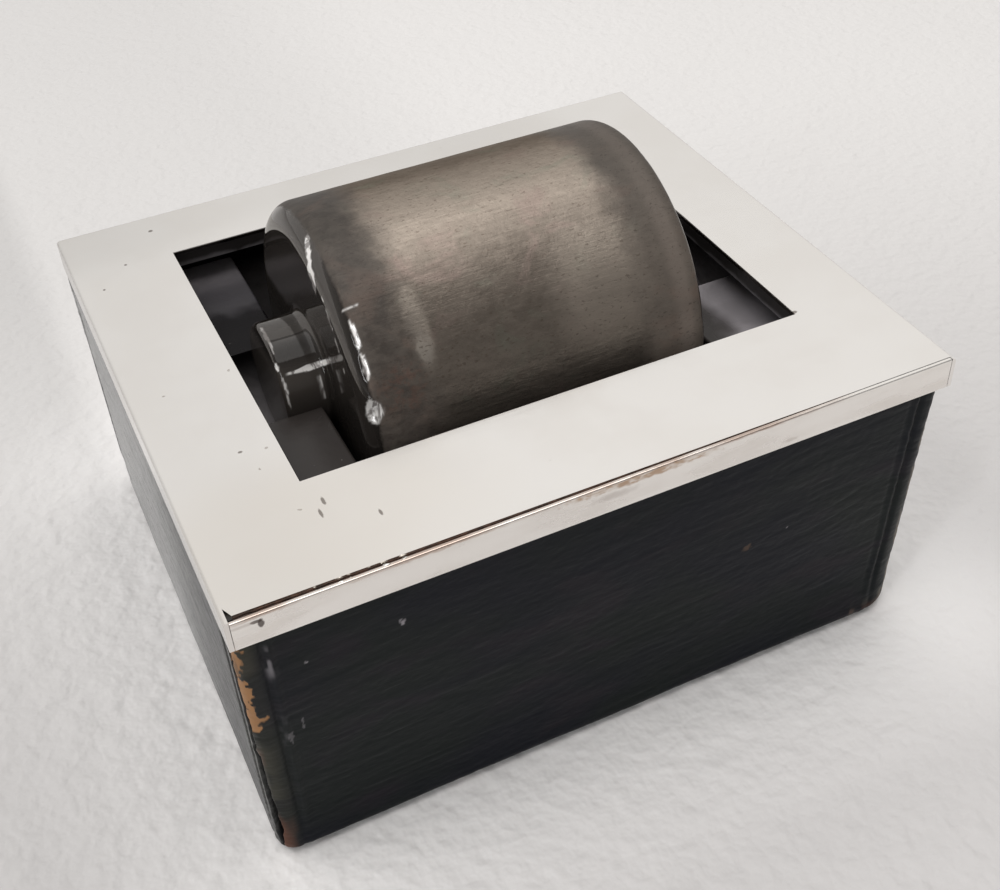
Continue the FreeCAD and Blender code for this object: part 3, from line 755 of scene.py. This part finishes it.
def roller_mesh():
    """The glass roller, turned about its axis, with chips cut into its ends."""
    seg = 480     # points round it
    left = [(end_l - x, r) for x, r in half_profile(SHOULDER_L_R, 18)][::-1]
    right = [(end_r + x, r) for x, r in half_profile(SHOULDER_R_R, 12)]
    knee = left[-1][0] + 3.5            # rows lie closer up to here, for the chips
    middle = [(x, drum_r) for x in spread(left[-1][0], knee, 0.2)[1:]]
    middle += [(x, drum_r) for x in spread(knee, right[0][0], 0.8)[1:-1]]
    prof = np.array(left + middle + right)
    a = np.linspace(0, 2 * math.pi, seg, endpoint=False)[None, :]
    x, r = prof[:, :1] + 0 * a, prof[:, 1:] + 0 * a
    # hand-worked glass: shoulders and end faces are never quite true
    q = np.stack([x, r * np.cos(a), r * np.sin(a)], -1).reshape(-1, 3)
    wob = (noise(q, (9, 9, 9), 31) - 0.5).reshape(x.shape)
    r = r - 0.10 * np.abs(wob) * step(r, 3.0, 8.0)
    rag = (noise(q, (0.9, 0.9, 0.9), 33) - 0.5).reshape(x.shape)
    turn = (np.degrees(a) + 180) % 360 - 180 + 0 * x
    chip, painted_glint = np.zeros(x.shape), np.zeros(x.shape)
    for flaws, along in ((LEFT_FLAWS, r + x - (end_l + drum_r - SHOULDER_L_R)),
                         (RIGHT_FLAWS, r - x + (end_r - drum_r + SHOULDER_R_R))):
        for at, turn0, half_along, half_round, drift, deep, bright in flaws:
            gone = ((turn - turn0 + 180) % 360 - 180) * math.pi / 180 * r
            far = np.hypot((along - at - drift * gone) / half_along, gone / half_round) + 0.45 * rag
            cut = step(far, 1.0, 0.85)
            painted_glint = np.where(cut > chip, bright, painted_glint)
            chip = np.maximum(chip, cut)
            r = r - deep * step(far, 1.0, 0.2)
    pts = np.stack([x, axis_y + r * np.sin(a), axis_z + r * np.cos(a)], -1).reshape(-1, 3)
    # two more points close the tips
    tips = [(prof[0, 0], axis_y, axis_z), (prof[-1, 0], axis_y, axis_z)]
    n, first = len(pts), np.arange(seg)
    last = first + (len(prof) - 1) * seg
    fans = [np.stack([np.full(seg, n), np.roll(first, -1), first], 1),
            np.stack([np.full(seg, n + 1), last, np.roll(last, -1)], 1)]
    faces = grid_faces(len(prof), seg, wrap_cols=True).tolist() + fans[0].tolist() + fans[1].tolist()
    me = bpy.data.meshes.new("roller_glass")
    me.from_pydata((np.concatenate([pts, tips]) * MM).tolist(), [], faces)
    me.polygons.foreach_set("use_smooth", [True] * len(me.polygons))
    ob = bpy.data.objects.new("roller_glass", me)
    scene.collection.objects.link(ob)
    paint(ob, "chip", np.append(chip.ravel(), (0.0, 0.0)))
    paint(ob, "painted_glint", np.append(painted_glint.ravel(), (0.0, 0.0)))
    return ob


roller = roller_mesh()
wear(roller, glass(end_l + 1.4, end_r - 0.3, GLOSS_AND_PAINTED_HIGHLIGHT, RUST_STAIN))
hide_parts("glass_roller")
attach(roller, "roller")

# --- finishes of the pieces carried over ------------------------------------------------
finish_of = {"ebonised_wood": ebonised(), "box_wood": box_wood(), "leather_under": leather_under(),
             "vulcanite": vulcanite()}
plate_mat, strip_mat = plated(), strip_finish()
for sub in frame["record"]["subparts"]:
    ob, name = nodes[sub["node"]], sub["material_slot"]
    if name in finish_of:
        wear(ob, finish_of[name])
    elif sub["node"] == "cap_plate":
        wear(ob, plate_mat)
    elif sub["node"] == "cap_front_strip":
        wear(ob, strip_mat)

# --- solder on the seam ------------------------------------------------------------------
SEAM_END = 35.0         # the seam is open from the left end to here
BEAD_Z = 46.55          # height of the solder
# lumps of solder, as (place along the seam, drop, size)
BEADS = [(-36.0, 0.2, 0.42), (-34.9, 0.1, 0.2), (-30.6, 0.15, 0.46), (-28.2, 0.15, 0.4),
         (-32.4, 0.1, 0.18), (-39.0, 0.2, 0.2), (-2.0, 0.06, 0.14), (5.5, 0.05, 0.12)]


def bead(name, x, y, z, rx, ry, rz, seed):
    """A small frozen lump of solder, flat against the seam."""
    rows, cols = 14, 20
    u = np.linspace(0, math.pi, rows)[:, None]
    v = np.linspace(0, 2 * math.pi, cols, endpoint=False)[None, :]
    s = np.stack([np.sin(u) * np.cos(v), np.sin(u) * np.sin(v), np.cos(u) + 0 * v], -1).reshape(-1, 3)
    s *= (1 + 0.45 * (noise(s, (0.8,) * 3, seed) - 0.5))[:, None]
    pts = s * (rx, ry, rz) + (x, y, z)
    return make_mesh(name, pts, grid_faces(rows, cols, wrap_cols=True))


# rust and dirt in the open seam
def seam_rust():
    m = Material("seam_rust")
    flake = m.noise((1.4, 0.5, 0.5), 4.0, 0.65, 0.4)
    colour = m.mix(m.ramp(flake, 0.35, 0.65), (0.035, 0.018, 0.012), (0.13, 0.07, 0.05))
    m.set(Base_Color=colour, Roughness=m.ramp(flake, 0.3, 0.7, 0.5, 0.8), Normal=m.bump(flake, 0.1))
    return m


def seam_filler():
    """Old solder and dirt lying in the gap between the sheet and the strip."""
    x = spread(STRIP_LO[0] + 0.6, SEAM_END - 1.0, 0.3)[:, None]
    open_by = np.interp(x, (STRIP_LO[0], SEAM_END), (0.36, 0.05))
    around = np.array([(0, 0), (0, 1), (0.35, 1.25), (0.7, 1.25), (1, 1), (1, 0)])
    y = STRIP_HI[1] + 0.01 + (open_by - 0.02) * around[:, 0][None, :]
    p = np.stack([x + 0 * y, y, 0 * x + 0 * y], -1).reshape(-1, 3)
    lump = 0.16 * (noise(p, (1.1, 1, 1), 61) - 0.5).reshape(y.shape) + 0 * y
    top = np.interp(x, (STRIP_LO[0], SEAM_END), (46.42, 46.7)) + lump
    z = top - 1.2 + np.minimum(around[:, 1], 1.0)[None, :] * 1.2 + 0.1 * (around[:, 1] > 1)[None, :]
    p = np.stack([x + 0 * y, y, z], -1).reshape(-1, 3)
    return make_mesh("seam_filler", p, grid_faces(*y.shape, wrap_cols=True))


filler = seam_filler()
wear(filler, seam_rust())
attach(filler, "cap")
solder = solder_finish()
for k, (x, drop, size) in enumerate(BEADS):
    ob = bead(f"solder_{k}", x, STRIP_FACE + 0.42, BEAD_Z - drop * 0.4, size * 1.25, 0.3, size * 0.62, 40 + k)
    wear(ob, solder)
    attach(ob, "cap")

# --- floor -------------------------------------------------------------------------------
FLOOR_FINE = 85         # half the width of the finely modelled part


def floor_mesh():
    """A painted floor, uneven near the object, with rows further apart towards its far edges."""
    cell = 0.6
    near = spread(-FLOOR_FINE, FLOOR_FINE, cell)
    grow = np.cumsum(cell * 1.13 ** np.arange(60))
    grow = grow[grow < 4000]
    line = np.concatenate([-FLOOR_FINE - grow[::-1], near, FLOOR_FINE + grow])
    gx, gy = np.meshgrid(line, line)
    p = np.stack([gx.ravel(), gy.ravel() - 5.0, np.zeros(gx.size)], 1)
    inner = step(np.maximum(np.abs(gx), np.abs(gy)).ravel(), 95, 80)
    h = 0.55 * noise(p, (2.6, 2.6, 1), 51) + 0.3 * noise(p, (1.4, 1.4, 1), 52)
    h += 0.15 * noise(p, (6, 6, 1), 53)
    p[:, 2] = -0.30 * (1 - h) * inner - 0.02
    p[:, 2] -= p[:, 2].max()
    return make_mesh("floor", p, grid_faces(*gx.shape))


# off-white paint with a fine peel
def floor_finish():
    m = Material("floor_paint")
    peel = m.math("MULTIPLY_ADD", m.noise(1.3, 1.0, 0.4, 0.0, 6.0), 0.45, m.noise(3.0, 1.0, 0.4, 0.3, 5.0))
    drift = m.noise(70.0, 2.0, 0.5)
    colour = m.mix(drift, (0.775, 0.762, 0.755), (0.80, 0.787, 0.78))
    # painted light and shade: paler near the object and towards the back, darker towards the front
    x, y = m.axis(0), m.axis(1)
    side = m.math("MAXIMUM", m.math("SUBTRACT", m.math("ABSOLUTE", x), HALF_LONG), 0.0)
    end = m.math("MAXIMUM", m.math("SUBTRACT", m.math("ABSOLUTE", y), HALF_WIDE), 0.0)
    away = m.math("SQRT", m.math("ADD", m.math("POWER", side, 2.0), m.math("POWER", end, 2.0)))
    near = m.ramp(away, 30.0, 0.0)
    rear = m.ramp(y, -60.0, 100.0)
    colour = m.mix(near, m.mix(rear, (0.64, 0.626, 0.624), colour), (0.93, 0.915, 0.91))
    # painted shade: greyer at the left and behind on the left
    left = m.ramp(x, -47.5, -56.0, 1.0, 0.85)
    corner = m.times(m.ramp(x, 65.0, 5.0), m.ramp(y, 45.0, 115.0, 0.0, 0.11))
    colour = m.scale(colour, m.times(left, m.math("SUBTRACT", 1.0, corner)))
    m.set(Base_Color=colour, Roughness=m.ramp(drift, 0.2, 0.8, 0.58, 0.66), Specular_IOR_Level=0.25,
          Normal=m.bump(peel, 0.42))
    return m


floor = floor_mesh()
wear(floor, floor_finish())

# --- light -------------------------------------------------------------------------------
# a bright room: strong from above and behind, weaker from the viewer's side
world = bpy.data.worlds.new("room")
scene.world = world
world.use_nodes = True
tree = world.node_tree
back = tree.nodes["Background"]
way = tree.nodes.new("ShaderNodeTexCoord")
part = tree.nodes.new("ShaderNodeSeparateXYZ")
both = tree.nodes.new("ShaderNodeMath")
both.operation = "MULTIPLY"
tree.links.new(way.outputs["Generated"], part.inputs[0])
# strength by the direction's y and by its z, as (from, to, strength at the first, at the second)
for k, (axis, values) in enumerate(((1, (-0.25, 0.35, 0.30, 0.74)), (2, (0.2, 0.7, 0.92, 1.12)))):
    change = tree.nodes.new("ShaderNodeMapRange")
    change.interpolation_type = "SMOOTHSTEP"
    tree.links.new(part.outputs[axis], change.inputs[0])
    for socket, value in zip(change.inputs[1:5], values):
        socket.default_value = value
    tree.links.new(change.outputs[0], both.inputs[k])
back.inputs[0].default_value = (1.0, 0.985, 0.965, 1)
tree.links.new(both.outputs[0], back.inputs[1])


def panel(name, place, aim, size, watts, colour):
    """A rectangular light at a place, facing another; metres."""
    data = bpy.data.lights.new(name, "AREA")
    data.shape = "RECTANGLE"
    data.size, data.size_y = size
    data.energy = watts
    data.color = colour
    ob = bpy.data.objects.new(name, data)
    scene.collection.objects.link(ob)
    ob.location = place
    ob.rotation_mode = "QUATERNION"
    ob.rotation_quaternion = (Vector(aim) - Vector(place)).to_track_quat("-Z", "Y")
    return ob


panel("ceiling", (-0.15, 0.0, 1.0), (-0.15, 0.0, 0), (1.2, 0.8), 6.6, (1.0, 0.98, 0.96))
panel("window", (-1.06, -0.58, 0.46), (0, 0, 0.04), (0.14, 0.65), 3.4, (0.98, 0.99, 1.0))

# --- camera ------------------------------------------------------------------------------
cam_data = bpy.data.cameras.new("camera")
cam = bpy.data.objects.new("camera", cam_data)
scene.collection.objects.link(cam)
cam_place = Vector((-0.06153, -0.14977, 0.15778))
right = Vector((0.90128, -0.43112, -0.04282))
forward = Vector((0.30153, 0.69516, -0.65256))
above = right.cross(forward)
cam.matrix_world = Matrix.Translation(cam_place) @ Matrix((
    (right.x, above.x, -forward.x), (right.y, above.y, -forward.y),
    (right.z, above.z, -forward.z))).to_4x4()
cam_data.sensor_width = 36
cam_data.lens = 49.16
cam_data.clip_start = 0.005
scene.camera = cam
scene.view_settings.view_transform = "Standard"
